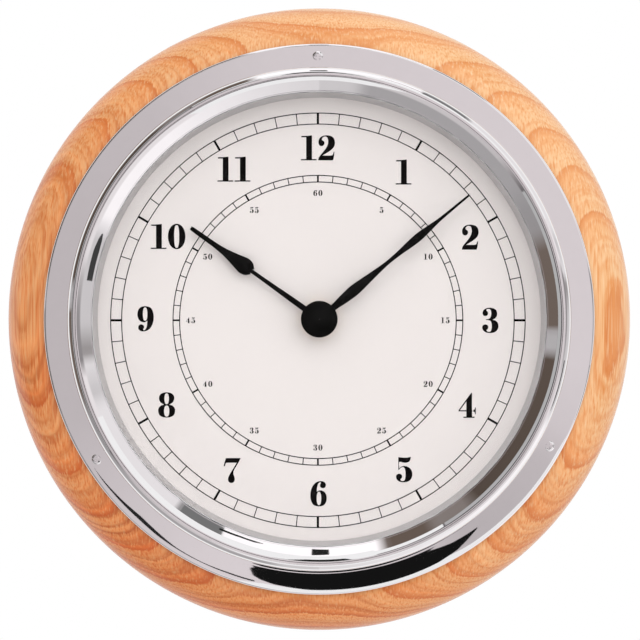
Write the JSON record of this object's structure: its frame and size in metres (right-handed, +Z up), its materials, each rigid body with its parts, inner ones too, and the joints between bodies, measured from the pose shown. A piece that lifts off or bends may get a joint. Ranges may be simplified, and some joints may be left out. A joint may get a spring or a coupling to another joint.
{
  "type": "ships clock",
  "caption": "Round battery wall clock: polished case with a wide flange and tapered bezel on a turned wooden base ring, white dial, black leaf hands and a geared movement.",
  "frame": {"origin": "centre of the wall plane, behind the centre of the dial", "axes": "+Z up towards 12 o'clock, dial faces -Y, +Y points into the wall, +X to the right as seen from the front"},
  "size_m": [0.17, 0.0349, 0.17],
  "materials": {
    "oiled_wood": "satin lacquer over open-pored ash",
    "polished_chrome": "mirror polished chrome on brass",
    "clear_glass": "flat mineral crystal",
    "black_rubber": "matt",
    "satin_grey": "satin silver grey",
    "white_dial": "matt white enamel, printed black",
    "satin_black": "satin black paint on aluminium",
    "brass": "turned brass",
    "steel": "fine turned",
    "zinc_steel": "zinc plated",
    "black_plastic": "moulded, fine grain",
    "white_plastic": "natural acetal",
    "magnet_grey": "sintered magnet",
    "copper_wire": "enamelled copper wire",
    "green_board": "solder resist",
    "battery_sleeve": "plain gloss sleeve"
  },
  "bodies": {
    "case": {"wood_ring": "oiled_wood", "case_body": "polished_chrome", "bezel_ring": "polished_chrome", "glass": "clear_glass", "glass_gasket": "black_rubber", "dial_ring": "satin_grey", "dial": "white_dial", "flange_screw_12": "polished_chrome", "flange_screw_8": "polished_chrome", "flange_screw_4": "polished_chrome", "hanger_plate": "zinc_steel", "hanger_screw_left": "zinc_steel", "hanger_screw_right": "zinc_steel", "cushion_washer": "black_rubber", "fixing_washer": "brass", "fixing_nut": "brass", "movement_front_housing": "black_plastic", "movement_rear_cover": "black_plastic", "train_bridge": "white_plastic", "stator": "steel", "coil_core": "steel", "coil_bobbin": "white_plastic", "coil_winding": "copper_wire", "circuit_board": "green_board", "clock_chip": "black_plastic", "quartz_crystal": "steel", "battery_contact_plus": "zinc_steel", "battery_contact_minus": "zinc_steel"},
    "minute_hand": {"minute_hand": "satin_black", "hub_cap": "satin_black", "minute_arbor": "steel"},
    "hour_hand": {"hour_hand": "satin_black", "hour_wheel": "white_plastic"},
    "minute_wheel": {"minute_wheel": "white_plastic"},
    "setting_knob": {"setting_knob": "white_plastic"},
    "centre_wheel": {"centre_wheel": "white_plastic"},
    "third_wheel": {"third_wheel": "white_plastic"},
    "seconds_wheel": {"seconds_wheel": "white_plastic"},
    "intermediate_wheel": {"intermediate_wheel": "white_plastic"},
    "rotor": {"rotor_pinion": "white_plastic", "rotor_magnet": "magnet_grey"},
    "battery": {"battery": "battery_sleeve"}
  },
  "joints": [
    {"name": "minute_hand_turn", "type": "hinge", "parent": "case", "child": "minute_hand", "pos_m": [0, -0.0248, 0], "axis": [0, 1, 0], "continuous": true},
    {"name": "hour_hand_turn", "type": "hinge", "parent": "case", "child": "hour_hand", "pos_m": [0, -0.0224, 0], "axis": [0, 1, 0], "continuous": true},
    {"name": "minute_wheel_turn", "type": "hinge", "parent": "case", "child": "minute_wheel", "pos_m": [0.004, -0.0136, 0.00693], "axis": [0, 1, 0], "continuous": true},
    {"name": "setting_knob_turn", "type": "hinge", "parent": "case", "child": "setting_knob", "pos_m": [0.004, -0.0006, 0.01493], "axis": [0, 1, 0], "continuous": true},
    {"name": "seconds_wheel_turn", "type": "hinge", "parent": "case", "child": "seconds_wheel", "pos_m": [0, -0.0071, 0], "axis": [0, 1, 0], "continuous": true},
    {"name": "centre_wheel_turn", "type": "hinge", "parent": "case", "child": "centre_wheel", "pos_m": [0, -0.0122, 0], "axis": [0, 1, 0], "continuous": true},
    {"name": "third_wheel_turn", "type": "hinge", "parent": "case", "child": "third_wheel", "pos_m": [-0.00935, -0.0111, 0.0054], "axis": [0, 1, 0], "continuous": true},
    {"name": "intermediate_wheel_turn", "type": "hinge", "parent": "case", "child": "intermediate_wheel", "pos_m": [0.00624, -0.0082, 0.0036], "axis": [0, 1, 0], "continuous": true},
    {"name": "rotor_turn", "type": "hinge", "parent": "case", "child": "rotor", "pos_m": [0.01296, -0.0056, 0.0036], "axis": [0, 1, 0], "continuous": true},
    {"name": "battery_out", "type": "slide", "parent": "case", "child": "battery", "axis": [0, 1, 0], "range_m": [0, 0.025]}
  ],
  "couplings": [
    {"joint": "hour_hand_turn", "follows": "minute_hand_turn", "ratio": 0.083333},
    {"joint": "minute_wheel_turn", "follows": "minute_hand_turn", "ratio": -0.33333},
    {"joint": "setting_knob_turn", "follows": "minute_hand_turn", "ratio": 1},
    {"joint": "intermediate_wheel_turn", "follows": "seconds_wheel_turn", "ratio": -5},
    {"joint": "rotor_turn", "follows": "seconds_wheel_turn", "ratio": 30},
    {"joint": "third_wheel_turn", "follows": "seconds_wheel_turn", "ratio": -0.13333},
    {"joint": "centre_wheel_turn", "follows": "seconds_wheel_turn", "ratio": 0.016667}
  ]
}
